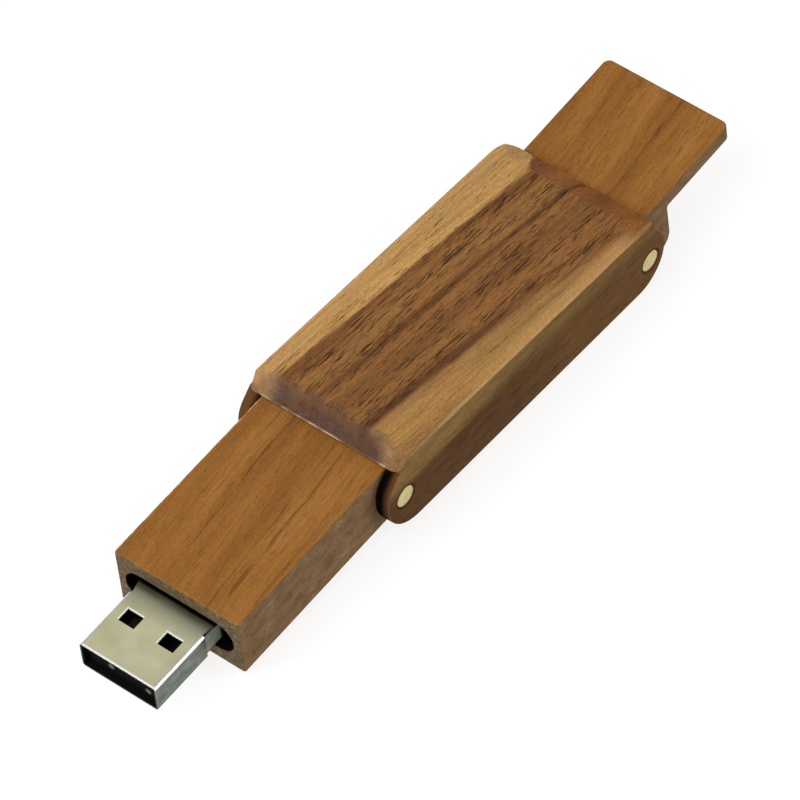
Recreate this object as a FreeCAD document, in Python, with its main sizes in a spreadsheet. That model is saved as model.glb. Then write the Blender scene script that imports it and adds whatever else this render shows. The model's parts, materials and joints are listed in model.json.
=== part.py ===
import FreeCAD, Part
import math
import os

import Sketcher

# Folding wooden USB flash drive.
#
# Three rigid bodies share two brass hinge pins.  The cover is a walnut channel: a bevelled
# top plate with a cheek down each side.  The stick, which holds the USB module, turns about
# the front pin, and the cap turns about the rear pin.  Closed, both lie inside the channel,
# with the cap's plate under the plug.
#
# Local frames, all in millimetres:
#   cover  origin on the front pin's axis, +X towards the rear pin, +Z up through the top plate
#   stick  origin on the front pin's axis, with the plug towards -X
#   plug   origin at the centre of the plug's mouth, +X into the stick
#   cap    origin on the rear pin's axis, with the plate towards +X
# The row frame has +X along the drive, plug towards -X, and stands the drive on z = 0.

DIMENSIONS = [
    ("pin_span", 50.6, "distance between the two hinge pins"),
    ("pin_radius", 1.65, "brass hinge pins"),
    ("pin_seat", 0.01, "radial gap of a pin in the cover"),
    ("pin_clearance", 0.05, "radial gap of a pin in the stick or the cap"),
    ("cover_width", 24.0, "over the outside of the cheeks"),
    ("channel_width", 20.0, "between the cheeks"),
    ("cheek_bottom_front", 5.7, "pin axes down to the cheeks' lower edges, at their front"),
    ("cheek_bottom_rear", 4.45, "pin axes down to the cheeks' lower edges, at their rear"),
    ("ceiling", 5.1, "pin axis up to the channel's ceiling"),
    ("top_height", 8.2, "pin axis up to the flat of the top plate"),
    ("front_nose", 3.4, "cheeks' reach ahead of the front pin"),
    ("front_lip", 1.4, "top plate's reach ahead of the front pin, at the ceiling"),
    ("front_shoulder", 2.4, "height where the cheeks' front ends start to lean back"),
    ("front_shoulder_reach", 1.0, "cheeks' reach ahead of the front pin, at the ceiling"),
    ("front_low_round", 6.0, "round under the cheeks' front ends"),
    ("front_high_round", 4.1, "round on the cheeks' front ends"),
    ("rear_nose", 3.0, "cheeks' reach behind the rear pin"),
    ("rear_lip", 0.45, "top plate's reach behind the rear pin"),
    ("rear_low_round", 5.3, "round under the cheeks' rear ends"),
    ("rear_high_round", 4.0, "round on the cheeks' rear ends"),
    ("rear_shoulder", 2.4, "height where the cheeks' rear ends start to lean in"),
    ("rear_shoulder_top", 6.0, "height where the cheeks' rear ends meet the top plate"),
    ("bevel_width", 3.1, "side bevels of the top plate, across"),
    ("bevel_drop", 1.45, "side bevels of the top plate, down"),
    ("rear_bevel_run", 3.3, "rear bevel of the top plate, along"),
    ("front_left_corner", 1.3, "round on the top plate's upright corner"),
    ("front_right_corner", 1.5, "round on the top plate's upright corner"),
    ("rear_left_corner", 2.8, "round on the top plate's upright corner"),
    ("rear_right_corner", 0.8, "round on the top plate's upright corner"),
    ("nose_edge_round", 0.2, "outer edges of the cheeks' ends"),
    ("rear_relief", 0.3, "bevel under the top plate's rear edge"),
    ("stick_length", 29.8, "front pin to the stick's front face"),
    ("stick_width", 19.6, "stick and cap"),
    ("half_thickness", 4.95, "half of the stick's and the cap's thickness"),
    ("knuckle_round", 4.9, "rounded hinge end of the stick and of the cap"),
    ("stick_edge_round", 0.35, "front edges of the stick"),
    ("slot_width", 16.9, "slot in the stick for the USB module"),
    ("slot_height", 5.2, "slot in the stick for the USB module"),
    ("slot_round", 2.5, "rounded ends of the slot"),
    ("slot_depth", 23.3, "slot in the stick for the USB module"),
    ("cap_length", 20.5, "rear pin to the cap's far edge"),
    ("cap_plate", 2.6, "thickness of the cap's plate"),
    ("cap_knuckle", 6.9, "rear pin to the step between knuckle and plate"),
    ("cap_corner_round", 1.0, "far corners of the cap's plate"),
    ("cap_step_round", 2.4, "knuckle's lower edge"),
    ("plug_length", 11.7, "plug standing out of the stick"),
    ("plug_width", 12.0, "standard-A plug shell"),
    ("plug_height", 4.5, "standard-A plug shell"),
    ("plug_lower", 0.05, "plug's centre below the stick's centre"),
    ("shell_wall", 0.3, "sheet of the plug shell"),
    ("shell_bend", 0.5, "outer radius of the plug shell's bends"),
    ("shell_side_length", 9.6, "length of the shell's side walls"),
    ("shell_flare_end", 11.7, "where the top sheet reaches its full width"),
    ("shell_length", 14.0, "length of the shell's top and bottom sheets"),
    ("shell_leg_start", 12.6, "front of the shell's solder legs"),
    ("shell_leg_end", 19.2, "end of the shell's solder legs"),
    ("window_start", 5.45, "plug's mouth to its latch windows"),
    ("window_length", 2.05, "latch window, along the plug"),
    ("window_width", 2.5, "latch window, across the plug"),
    ("window_offset", 3.08, "centre line to a latch window's centre"),
    ("tongue_start", 0.9, "plug's mouth to the tongue"),
    ("tongue_top", 0.1, "tongue's upper face below the plug's centre"),
    ("moulding_gap", 0.02, "moulding to the shell, top and bottom"),
    ("moulding_half_width", 5.55, "half width of the insulator and of the module's frame"),
    ("socket_depth", 8.2, "plug's mouth to the insulator's wall behind the tongue"),
    ("insulator_end", 9.6, "plug's mouth to the joint of insulator and frame"),
    ("frame_drop", 0.6, "shell's top sheet down to the module's frame"),
    ("frame_end", 15.6, "plug's mouth to the frame's rear face"),
    ("contact_width", 1.0, "contact strips"),
    ("contact_thickness", 0.2, "contact strips"),
    ("contact_end", 17.6, "plug's mouth to the contacts' solder tails"),
    ("board_length", 18.0, "circuit board"),
    ("board_width", 15.0, "circuit board"),
    ("board_neck_length", 3.9, "narrow front of the board, between the shell's legs"),
    ("board_thickness", 1.0, "circuit board"),
    ("leg_bottom", 1.2, "plug's centre down to the lower edge of the shell's solder legs"),
    ("leg_top", 0.4, "plug's centre up to the upper edge of the shell's solder legs"),
    ("solder_length", 1.8, "fillet between a solder leg and the board"),
    ("solder_height", 0.8, "fillet between a solder leg and the board"),
    ("solder_setback", 2.6, "shell's rear end to the solder"),
    ("solder_lift", 0.1, "board's underside to the solder"),
    ("glue_length", 4.5, "glue dab between the shell and the slot's end"),
    ("glue_width", 1.9, "glue dab between the shell and the slot's end"),
    ("glue_height", 2.6, "glue dab between the shell and the slot's end"),
    ("stick_droop", 6.2, "degrees the open stick drops below straight"),
    ("cap_lift", 8.4, "degrees the open cap rises above straight"),
]


class Size:
    """A length or angle that knows its number and its spreadsheet expression."""

    def __init__(self, value, text):
        self.value = value
        self.text = text

    def join(self, other, sign, value):
        text = other.text if isinstance(other, Size) else str(other)
        return Size(value, f"({self.text} {sign} {text})")

    def __add__(self, other):
        return self.join(other, "+", self.value + plain(other))

    def __sub__(self, other):
        return self.join(other, "-", self.value - plain(other))

    def __mul__(self, other):
        return self.join(other, "*", self.value * plain(other))

    def __truediv__(self, other):
        return self.join(other, "/", self.value / plain(other))

    def __neg__(self):
        return self * -1


def plain(size):
    return size.value if isinstance(size, Size) else float(size)


def fill_sheet(doc):
    """Write the driving dimensions to the sheet and return them by name."""
    sheet = doc.addObject("Spreadsheet::Sheet", "Dims")
    sizes = {}
    for row, (name, value, meaning) in enumerate(DIMENSIONS, start=1):
        sheet.set(f"A{row}", meaning)
        sheet.set(f"B{row}", str(value))
        sheet.setAlias(f"B{row}", name)
        sizes[name] = Size(value, f"Dims.{name}")
    doc.recompute()
    return sizes


doc = FreeCAD.newDocument("usb_flash_drive")
D = fill_sheet(doc)


# ---------------------------------------------------------------- modelling helpers

def bind(obj, prop, size):
    obj.setExpression(prop, size.text if isinstance(size, Size) else str(size))


def new_body(label):
    body = doc.addObject("PartDesign::Body", label)
    body.Label = label
    return body


def new_sketch(body, name, role, offset=None):
    """A sketch on one of the body's own origin planes, moved along its normal by offset."""
    sketch = body.newObject("Sketcher::SketchObject", name)
    plane = [f for f in body.Origin.OriginFeatures if f.Role == role][0]
    sketch.AttachmentSupport = [(plane, "")]
    sketch.MapMode = "FlatFace"
    if offset is not None:
        bind(sketch, "AttachmentOffset.Base.z", offset)
    return sketch


def pin_point(sketch, geometry, position, point):
    """Hold one point of a sketch at its driving distances from the sketch's origin."""
    for kind, size in zip(("DistanceX", "DistanceY"), point):
        value = plain(size)
        constraint = Sketcher.Constraint(kind, -1, 1, geometry, position, value)
        index = sketch.addConstraint(constraint)
        if isinstance(size, Size):
            bind(sketch, f"Constraints[{index}]", size)


def add_polygon(sketch, points):
    """A closed outline of straight sides through the given points."""
    vectors = [FreeCAD.Vector(plain(x), plain(y), 0) for x, y in points]
    first = len(sketch.Geometry)
    count = len(points)
    for i in range(count):
        sketch.addGeometry(Part.LineSegment(vectors[i], vectors[(i + 1) % count]), False)
    for i in range(count):
        following = first + (i + 1) % count
        sketch.addConstraint(Sketcher.Constraint("Coincident", first + i, 2, following, 1))
    for i, point in enumerate(points):
        pin_point(sketch, first + i, 1, point)


def add_rectangle(sketch, low, high):
    add_polygon(sketch, [low, (high[0], low[1]), high, (low[0], high[1])])


def add_circle(sketch, centre, radius):
    middle = FreeCAD.Vector(plain(centre[0]), plain(centre[1]), 0)
    circle = Part.Circle(middle, FreeCAD.Vector(0, 0, 1), plain(radius))
    geometry = sketch.addGeometry(circle, False)
    pin_point(sketch, geometry, 3, centre)
    index = sketch.addConstraint(Sketcher.Constraint("Radius", geometry, plain(radius)))
    bind(sketch, f"Constraints[{index}]", radius)


def pad(body, name, sketch, length, centred=False):
    feature = body.newObject("PartDesign::Pad", name)
    feature.Profile = sketch
    feature.Midplane = centred
    bind(feature, "Length", length)
    doc.recompute()
    return feature


def cut(body, name, sketch, length=None, reverse=False):
    """A pocket: right through both ways, or length deep.  It must take material away."""
    before = body.Shape.Volume
    feature = body.newObject("PartDesign::Pocket", name)
    feature.Profile = sketch
    if length is None:
        feature.Midplane = True
        bind(feature, "Length", D["pin_span"] * 4)
    else:
        feature.Reversed = reverse
        bind(feature, "Length", length)
    doc.recompute()
    if body.Shape.Volume > before - 1e-4:
        raise RuntimeError(f"{name} cuts nothing")
    return feature


def find_edges(body, wanted):
    """Names of the body's edges whose middle point passes the wanted test."""
    names = []
    for index, edge in enumerate(body.Shape.Edges, start=1):
        middle = edge.valueAt((edge.FirstParameter + edge.LastParameter) / 2)
        if wanted(middle, edge):
            names.append(f"Edge{index}")
    if not names:
        raise RuntimeError(f"no edge to dress on {body.Label}")
    return names


def dress(body, name, kind, size, wanted):
    """Fillet or chamfer the edges that pass the wanted test."""
    edges = find_edges(body, wanted)
    base = body.Tip
    feature = body.newObject(f"PartDesign::{kind}", name)
    feature.Base = (base, edges)
    bind(feature, "Radius" if kind == "Fillet" else "Size", size)
    doc.recompute()
    return feature


def near(a, b, tolerance=0.02):
    return abs(a - plain(b)) < tolerance


def upright_in_profile(x, z):
    """Test for an edge across the part, along Y, at x and z."""
    def wanted(middle, edge):
        across = abs(edge.tangentAt(edge.FirstParameter).y) > 0.99
        return across and near(middle.x, x) and near(middle.z, z)
    return wanted


# ---------------------------------------------------------------- the cover and its pins

def make_cover():
    body = new_body("cover")
    rear = D["pin_span"]
    rear_face = rear + D["rear_lip"]
    ridge = D["top_height"] - D["bevel_drop"]
    low_front = -D["cheek_bottom_front"]
    low_rear = -D["cheek_bottom_rear"]

    plate = new_sketch(body, "plate_outline", "XZ_Plane")
    add_polygon(plate, [
        (-D["front_lip"], D["ceiling"]),
        (rear_face, D["ceiling"]),
        (rear_face, ridge),
        (rear_face - D["rear_bevel_run"], D["top_height"]),
        (0, D["top_height"]),
    ])
    pad(body, "plate", plate, D["cover_width"], centred=True)

    bevels = new_sketch(body, "side_bevel_cut", "YZ_Plane")
    for side in (-1, 1):
        edge = D["cover_width"] * (side * 0.5)
        crest = (D["cover_width"] * 0.5 - D["bevel_width"]) * side
        beyond = edge + side
        add_polygon(bevels, [
            (crest, D["top_height"]),
            (edge, ridge),
            (beyond, ridge),
            (beyond, D["top_height"] + 1),
            (crest, D["top_height"] + 1),
        ])
    cut(body, "side_bevels", bevels)

    for end, along in (("front", -1), ("rear", 1)):
        for side, across in (("left", 1), ("right", -1)):

            def corner(middle, edge):
                upright = abs(edge.tangentAt(edge.FirstParameter).z) > 0.05
                this_end = (middle.x - rear.value / 2) * along > 0
                return upright and this_end and near(middle.y * across, D["cover_width"] / 2)

            dress(body, f"plate_{end}_{side}", "Fillet", D[f"{end}_{side}_corner"], corner)

    # The cheeks start as one block under the plate; the channel then parts them.
    cheeks = new_sketch(body, "cheek_outline", "XZ_Plane")
    add_polygon(cheeks, [
        (-D["front_nose"], low_front),
        (rear + D["rear_nose"], low_rear),
        (rear + D["rear_nose"], D["rear_shoulder"]),
        (rear_face, D["rear_shoulder_top"]),
        (rear, D["rear_shoulder_top"]),
        (rear - D["rear_bevel_run"], D["ceiling"]),
        (-D["front_shoulder_reach"], D["ceiling"]),
        (-D["front_nose"], D["front_shoulder"]),
    ])
    pad(body, "cheek_block", cheeks, D["cover_width"], centred=True)

    rounds = [
        ("front_low", -D["front_nose"], low_front),
        ("front_high", -D["front_nose"], D["front_shoulder"]),
        ("rear_low", rear + D["rear_nose"], low_rear),
        ("rear_high", rear + D["rear_nose"], D["rear_shoulder"]),
    ]
    for name, x, z in rounds:
        dress(body, f"cover_{name}", "Fillet", D[f"{name}_round"], upright_in_profile(x, z))

    def nose_edge(middle, edge):
        at_nose = middle.x < -D["front_lip"].value or middle.x > rear_face.value
        return at_nose and near(abs(middle.y), D["cover_width"] / 2)

    dress(body, "nose_edges", "Fillet", D["nose_edge_round"], nose_edge)

    channel = new_sketch(body, "channel_section", "YZ_Plane")
    half = D["channel_width"] / 2
    add_rectangle(channel, (-half, low_front - 2), (half, D["ceiling"]))
    cut(body, "channel", channel)

    relief = new_sketch(body, "rear_opening_section", "YZ_Plane", rear_face)
    add_rectangle(relief, (-half, D["ceiling"] - 1), (half, D["rear_shoulder_top"] + 0.5))
    cut(body, "rear_opening", relief, D["rear_nose"], reverse=True)

    dress(body, "ceiling_rear_edge", "Chamfer", D["rear_relief"],
          upright_in_profile(rear_face, D["ceiling"]))

    holes = new_sketch(body, "pin_hole_circles", "XZ_Plane")
    for x in (0, rear):
        add_circle(holes, (x, 0), D["pin_radius"] + D["pin_seat"])
    cut(body, "pin_holes", holes)
    return body


def make_pin(label):
    pin = doc.addObject("Part::Cylinder", label)
    pin.Label = label
    bind(pin, "Radius", D["pin_radius"])
    bind(pin, "Height", D["cover_width"])
    return pin


# ---------------------------------------------------------------- the stick and the cap

def bore_for_pin(body):
    circle = new_sketch(body, f"{body.Label}_bore_circle", "XZ_Plane")
    add_circle(circle, (0, 0), D["pin_radius"] + D["pin_clearance"])
    cut(body, f"{body.Label}_bore", circle)


def make_stick_block():
    body = new_body("stick_block")
    half = D["half_thickness"]
    outline = new_sketch(body, "stick_outline", "XZ_Plane")
    add_rectangle(outline, (-D["stick_length"], -half), (half, half))
    pad(body, "stick_solid", outline, D["stick_width"], centred=True)

    for z in (-half, half):
        dress(body, f"stick_knuckle_{'low' if plain(z) < 0 else 'high'}", "Fillet",
              D["knuckle_round"], upright_in_profile(half, z))

    def front_edge(middle, edge):
        return near(middle.x, -D["stick_length"])

    dress(body, "stick_front_edges", "Fillet", D["stick_edge_round"], front_edge)

    slot = new_sketch(body, "module_slot_section", "YZ_Plane", -D["stick_length"])
    half_width = D["slot_width"] / 2
    half_height = D["slot_height"] / 2
    add_rectangle(slot, (-half_width, -half_height), (half_width, half_height))
    cut(body, "module_slot", slot, D["slot_depth"], reverse=True)

    def slot_corner(middle, edge):
        along = abs(edge.tangentAt(edge.FirstParameter).x) > 0.99
        return along and near(abs(middle.y), half_width) and near(abs(middle.z), half_height)

    dress(body, "module_slot_ends", "Fillet", D["slot_round"], slot_corner)
    bore_for_pin(body)
    return body


def make_cap():
    body = new_body("cap")
    half = D["half_thickness"]
    underside = half - D["cap_plate"]
    outline = new_sketch(body, "cap_outline", "XZ_Plane")
    add_polygon(outline, [
        (-half, -half),
        (D["cap_knuckle"], -half),
        (D["cap_knuckle"], underside),
        (D["cap_length"], underside),
        (D["cap_length"], half),
        (-half, half),
    ])
    pad(body, "cap_solid", outline, D["stick_width"], centred=True)

    for z in (-half, half):
        dress(body, f"cap_knuckle_{'low' if plain(z) < 0 else 'high'}", "Fillet",
              D["knuckle_round"], upright_in_profile(-half, z))
    dress(body, "cap_step", "Fillet", D["cap_step_round"],
          upright_in_profile(D["cap_knuckle"], -half))

    def far_corner(middle, edge):
        upright = abs(edge.tangentAt(edge.FirstParameter).z) > 0.99
        return upright and near(middle.x, D["cap_length"])

    dress(body, "cap_far_corners", "Fillet", D["cap_corner_round"], far_corner)
    bore_for_pin(body)
    return body


# ---------------------------------------------------------------- the USB module

def make_usb_shell():
    body = new_body("usb_shell")
    wall = D["shell_wall"]
    half_width = D["plug_width"] / 2
    half_height = D["plug_height"] / 2

    section = new_sketch(body, "shell_section", "YZ_Plane")
    add_rectangle(section, (-half_width, -half_height), (half_width, half_height))
    pad(body, "shell_block", section, D["shell_side_length"])

    def bend(middle, edge):
        along = abs(edge.tangentAt(edge.FirstParameter).x) > 0.99
        return along and near(abs(middle.y), half_width) and near(abs(middle.z), half_height)

    dress(body, "shell_bends", "Fillet", D["shell_bend"], bend)

    mouth = new_sketch(body, "shell_inside", "YZ_Plane")
    add_rectangle(mouth, (-half_width + wall, -half_height + wall),
                  (half_width - wall, half_height - wall))
    cut(body, "shell_hollow", mouth)

    # Behind the side walls the bottom sheet runs straight on, and the top one flares.
    flat = half_width - D["shell_bend"]
    bottom = new_sketch(body, "shell_bottom_outline", "XY_Plane", -half_height)
    add_rectangle(bottom, (D["shell_side_length"], -flat), (D["shell_length"], flat))
    pad(body, "shell_bottom_sheet", bottom, wall)
    top = new_sketch(body, "shell_top_outline", "XY_Plane", half_height - wall)
    add_polygon(top, [
        (D["shell_side_length"], -flat),
        (D["shell_flare_end"], -half_width),
        (D["shell_length"], -half_width),
        (D["shell_length"], half_width),
        (D["shell_flare_end"], half_width),
        (D["shell_side_length"], flat),
    ])
    pad(body, "shell_top_sheet", top, wall)

    # A leg folds down each side of the top sheet and reaches back to the board's edge.
    for name, side in (("left", 1), ("right", -1)):
        leg = new_sketch(body, f"shell_{name}_leg_outline", "XZ_Plane",
                         (half_width - wall / 2) * -side)
        add_polygon(leg, [
            (D["shell_leg_start"], -D["leg_bottom"]),
            (D["shell_leg_end"], -D["leg_bottom"]),
            (D["shell_leg_end"], D["leg_top"]),
            (D["shell_length"], D["leg_top"]),
            (D["shell_length"], half_height),
            (D["shell_leg_start"], half_height),
        ])
        pad(body, f"shell_{name}_leg", leg, wall, centred=True)

    windows = new_sketch(body, "latch_window_outlines", "XY_Plane")
    for side in (-1, 1):
        near_edge = D["window_offset"] * side - D["window_width"] / 2
        far_edge = D["window_offset"] * side + D["window_width"] / 2
        add_rectangle(windows, (D["window_start"], near_edge),
                      (D["window_start"] + D["window_length"], far_edge))
    cut(body, "latch_windows", windows)
    return body


CONTACTS = [
    # name, distance to the left of the centre line, plug's mouth to the strip's front end
    ("vbus_contact", -3.5, 1.5),
    ("data_minus_contact", -1.0, 2.5),
    ("data_plus_contact", 1.0, 2.5),
    ("ground_contact", 3.5, 1.5),
]


def make_moulding(label, start, end, drop):
    """A block in the shell, drop below its top, with a tunnel for each contact."""
    body = new_body(label)
    inside = D["plug_height"] / 2 - D["shell_wall"] - D["moulding_gap"]
    half = D["moulding_half_width"]
    block = new_sketch(body, f"{label}_section", "YZ_Plane", start)
    add_rectangle(block, (-half, -inside), (half, inside - drop))
    pad(body, f"{label}_block", block, end - start)

    tunnels = new_sketch(body, f"{label}_tunnel_sections", "YZ_Plane", start)
    reach = D["contact_width"] / 2
    roof = D["contact_thickness"] - D["tongue_top"]
    for _, y, _ in CONTACTS:
        add_rectangle(tunnels, (-reach + y, -D["tongue_top"]), (reach + y, roof))
    cut(body, f"{label}_tunnels", tunnels, end - start, reverse=True)
    return body


def make_usb_insulator():
    body = make_moulding("usb_insulator", D["socket_depth"], D["insulator_end"], 0)
    inside = D["plug_height"] / 2 - D["shell_wall"] - D["moulding_gap"]
    half = D["moulding_half_width"]
    tongue = new_sketch(body, "tongue_section", "YZ_Plane", D["tongue_start"])
    add_rectangle(tongue, (-half, -inside), (half, -D["tongue_top"]))
    pad(body, "tongue", tongue, D["socket_depth"] - D["tongue_start"])
    return body


def make_circuit_board():
    body = new_body("circuit_board")
    neck = D["moulding_half_width"]
    half = D["board_width"] / 2
    front = D["frame_end"]
    shoulder = front + D["board_neck_length"]
    outline = new_sketch(body, "board_outline", "XY_Plane",
                         -D["tongue_top"] - D["board_thickness"])
    add_polygon(outline, [
        (front, -neck),
        (shoulder, -neck),
        (shoulder, -half),
        (front + D["board_length"], -half),
        (front + D["board_length"], half),
        (shoulder, half),
        (shoulder, neck),
        (front, neck),
    ])
    pad(body, "board", outline, D["board_thickness"])
    return body


def make_box(label, length, width, height):
    box = doc.addObject("Part::Box", label)
    box.Label = label
    bind(box, "Length", length)
    bind(box, "Width", width)
    bind(box, "Height", height)
    return box


ABOVE, BELOW = 1, -1
COMPONENTS = [
    # name, distance behind the board's front edge, y of the centre, size, side of the board
    ("controller_chip", 4.6, 0.0, (7.0, 7.0, 1.2), ABOVE),
    ("flash_chip", 3.8, 0.0, (14.0, 12.0, 1.1), BELOW),
    ("crystal", 13.0, 3.4, (3.2, 2.5, 0.8), ABOVE),
    ("supply_capacitor", 2.9, -3.6, (1.0, 1.6, 0.9), ABOVE),
    ("core_capacitor", 12.6, -1.6, (1.0, 0.5, 0.5), ABOVE),
    ("io_capacitor", 12.6, -3.2, (1.0, 0.5, 0.5), ABOVE),
    ("data_minus_resistor", 3.0, -1.0, (1.0, 0.5, 0.35), ABOVE),
    ("data_plus_resistor", 3.0, 1.0, (1.0, 0.5, 0.35), ABOVE),
]


# ---------------------------------------------------------------- build and place

def turn_about_y(degrees):
    """A placement that lifts +X by the given angle."""
    return FreeCAD.Placement(FreeCAD.Vector(), FreeCAD.Rotation(FreeCAD.Vector(0, -1, 0), degrees))


def shift(x, y, z):
    return FreeCAD.Placement(FreeCAD.Vector(x, y, z), FreeCAD.Rotation())


def lean_of_open_drive():
    """Degrees that the cover's front is up when the drive stands open on a table.

    It stands on the lower front edge of the drooping stick and on the rounds under the
    cheeks' rear ends, so the lowest points of those two rounds are at one height.
    """
    droop = math.radians(D["stick_droop"].value)
    edge = D["stick_edge_round"].value
    x = edge - D["stick_length"].value
    z = edge - D["half_thickness"].value
    stick_x = x * math.cos(droop) - z * math.sin(droop)
    stick_z = x * math.sin(droop) + z * math.cos(droop)
    heel = D["rear_low_round"].value
    heel_x = D["pin_span"].value + D["rear_nose"].value - heel
    fall = (D["cheek_bottom_front"] - D["cheek_bottom_rear"]).value
    fall /= (D["front_nose"] + D["pin_span"] + D["rear_nose"]).value
    heel_z = heel * (math.hypot(1, fall) - fall) - D["cheek_bottom_rear"].value
    across = stick_x - heel_x
    rise = heel_z - stick_z
    angle = math.atan2(across, rise) + math.acos((heel - edge) / math.hypot(across, rise))
    return math.degrees(angle)


def main():
    placed = []

    def keep(obj, body_frame, local=None):
        placed.append((obj, body_frame if local is None else body_frame.multiply(local)))

    cover_frame = turn_about_y(-lean_of_open_drive())
    stick_frame = cover_frame.multiply(turn_about_y(D["stick_droop"].value))
    rear_pin = shift(D["pin_span"].value, 0, 0)
    cap_frame = cover_frame.multiply(rear_pin).multiply(turn_about_y(D["cap_lift"].value))
    mouth_x = -D["stick_length"].value - D["plug_length"].value
    plug_frame = stick_frame.multiply(shift(mouth_x, 0, -D["plug_lower"].value))

    keep(make_cover(), cover_frame)
    along_y = FreeCAD.Placement(FreeCAD.Vector(0, D["cover_width"].value / 2, 0),
                                FreeCAD.Rotation(FreeCAD.Vector(1, 0, 0), 90))
    keep(make_pin("front_hinge_pin"), cover_frame, along_y)
    keep(make_pin("rear_hinge_pin"), cover_frame, rear_pin.multiply(along_y))
    keep(make_stick_block(), stick_frame)
    keep(make_cap(), cap_frame)
    keep(make_usb_shell(), plug_frame)
    keep(make_usb_insulator(), plug_frame)
    module_frame = make_moulding("module_frame", D["insulator_end"], D["frame_end"],
                                 D["frame_drop"])
    keep(module_frame, plug_frame)
    keep(make_circuit_board(), plug_frame)

    for name, y, start in CONTACTS:
        strip = make_box(name, D["contact_end"] - start, D["contact_width"],
                         D["contact_thickness"])
        corner = shift(start, y - D["contact_width"].value / 2, -D["tongue_top"].value)
        keep(strip, plug_frame, corner)

    board_top = -D["tongue_top"].value
    board_bottom = board_top - D["board_thickness"].value
    for name, x, y, (length, width, height), side in COMPONENTS:
        level = board_top if side == ABOVE else board_bottom - height
        corner = shift(D["frame_end"].value + x, y - width / 2, level)
        keep(make_box(name, length, width, height), plug_frame, corner)

    # Solder joins the shell's legs to the board, and glue holds the module in the slot.
    shell_rear = D["shell_length"].value
    half_width = D["plug_width"].value / 2
    leg_inside = half_width - D["shell_wall"].value
    neck = D["moulding_half_width"].value
    solder_level = board_bottom + D["solder_lift"].value
    solder_x = shell_rear + D["solder_setback"].value
    dab_width = D["glue_width"].value
    for name, solder_y, dab_y in (
        ("left", neck, half_width),
        ("right", -leg_inside, -half_width - dab_width),
    ):
        solder = make_box(f"{name}_shell_solder", D["solder_length"],
                          D["plug_width"] / 2 - D["shell_wall"] - D["moulding_half_width"],
                          D["solder_height"])
        keep(solder, plug_frame, shift(solder_x, solder_y, solder_level))
        dab = make_box(f"{name}_glue_dab", D["glue_length"], D["glue_width"], D["glue_height"])
        keep(dab, plug_frame, shift(shell_rear, dab_y, -D["glue_height"].value / 2))

    doc.recompute()
    for obj, placement in placed:
        obj.Placement = placement
    doc.recompute()

    box = FreeCAD.BoundBox()
    for obj, _ in placed:
        box.add(obj.Shape.optimalBoundingBox(False, False))
    middle = -(box.XMin + box.XMax) / 2
    for obj, placement in placed:
        obj.Placement = shift(middle, 0, -box.ZMin).multiply(placement)
    doc.recompute()

    for obj in doc.Objects:
        if "Invalid" in obj.State or "Error" in obj.State:
            raise RuntimeError(f"{obj.Name} is in state {obj.State}")
    os.makedirs("parts", exist_ok=True)
    for obj, _ in placed:
        if obj.Shape.isNull() or not obj.Shape.isValid():
            raise RuntimeError(f"{obj.Label} has no valid shape")
        obj.Shape.exportStep(f"parts/{obj.Label}.step")

    print(f"lean {lean_of_open_drive():.4f} degrees")
    print(f"front pin at {middle:.4f}, {-box.ZMin:.4f}")
    print(f"box {box.XLength:.3f} x {box.YLength:.3f} x {box.ZLength:.3f}")


main()
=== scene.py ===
import json
import math

import bmesh
import bpy
from mathutils import Euler, Matrix, Vector


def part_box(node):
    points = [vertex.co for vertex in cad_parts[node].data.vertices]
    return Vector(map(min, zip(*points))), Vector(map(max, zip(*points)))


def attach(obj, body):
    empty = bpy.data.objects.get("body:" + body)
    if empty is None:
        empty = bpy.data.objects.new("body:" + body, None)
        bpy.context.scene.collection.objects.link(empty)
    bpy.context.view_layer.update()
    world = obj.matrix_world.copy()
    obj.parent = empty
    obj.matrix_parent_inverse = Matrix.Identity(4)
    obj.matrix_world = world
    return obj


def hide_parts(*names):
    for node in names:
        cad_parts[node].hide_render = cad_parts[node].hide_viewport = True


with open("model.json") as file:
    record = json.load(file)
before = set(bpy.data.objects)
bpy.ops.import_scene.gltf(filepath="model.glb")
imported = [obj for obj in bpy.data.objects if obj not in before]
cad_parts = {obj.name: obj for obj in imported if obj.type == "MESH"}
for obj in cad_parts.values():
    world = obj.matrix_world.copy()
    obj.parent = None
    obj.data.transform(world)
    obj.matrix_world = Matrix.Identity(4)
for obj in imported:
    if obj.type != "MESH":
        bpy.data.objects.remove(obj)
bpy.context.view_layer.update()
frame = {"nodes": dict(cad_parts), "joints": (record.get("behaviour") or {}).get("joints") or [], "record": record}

MM = 0.001
NODES = frame["nodes"]
JOINTS = {joint["name"]: joint for joint in frame["joints"]}
SLOTS = {entry["node"]: entry["material_slot"] for entry in frame["record"]["subparts"]}


# ---------------------------------------------------------------- places and sizes

def angle_about_y(degrees):
    return Euler((0, math.radians(degrees), 0)).to_matrix()


front_pin = Vector(JOINTS["stick_hinge"]["pos_m"])
rear_pin = Vector(JOINTS["cap_hinge"]["pos_m"])
span = rear_pin - front_pin
LEAN = math.degrees(math.atan2(-span.z, span.x))
DROOP = -JOINTS["stick_hinge"]["range_deg"][0]
LIFT = JOINTS["cap_hinge"]["range_deg"][1] - 180

# Each body's own frame has +X along its piece, from the hinge pin, towards the cap's end when
# the drive is open.  Its second entry is its turn about Y in degrees.  Left is +Y, as seen
# from the plug's end, and all the sizes below are in millimetres.
COVER = (front_pin, LEAN)
STICK = (front_pin, LEAN - DROOP)
CAP = (rear_pin, LEAN - LIFT)
PIN_SPAN = span.length / MM

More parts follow.
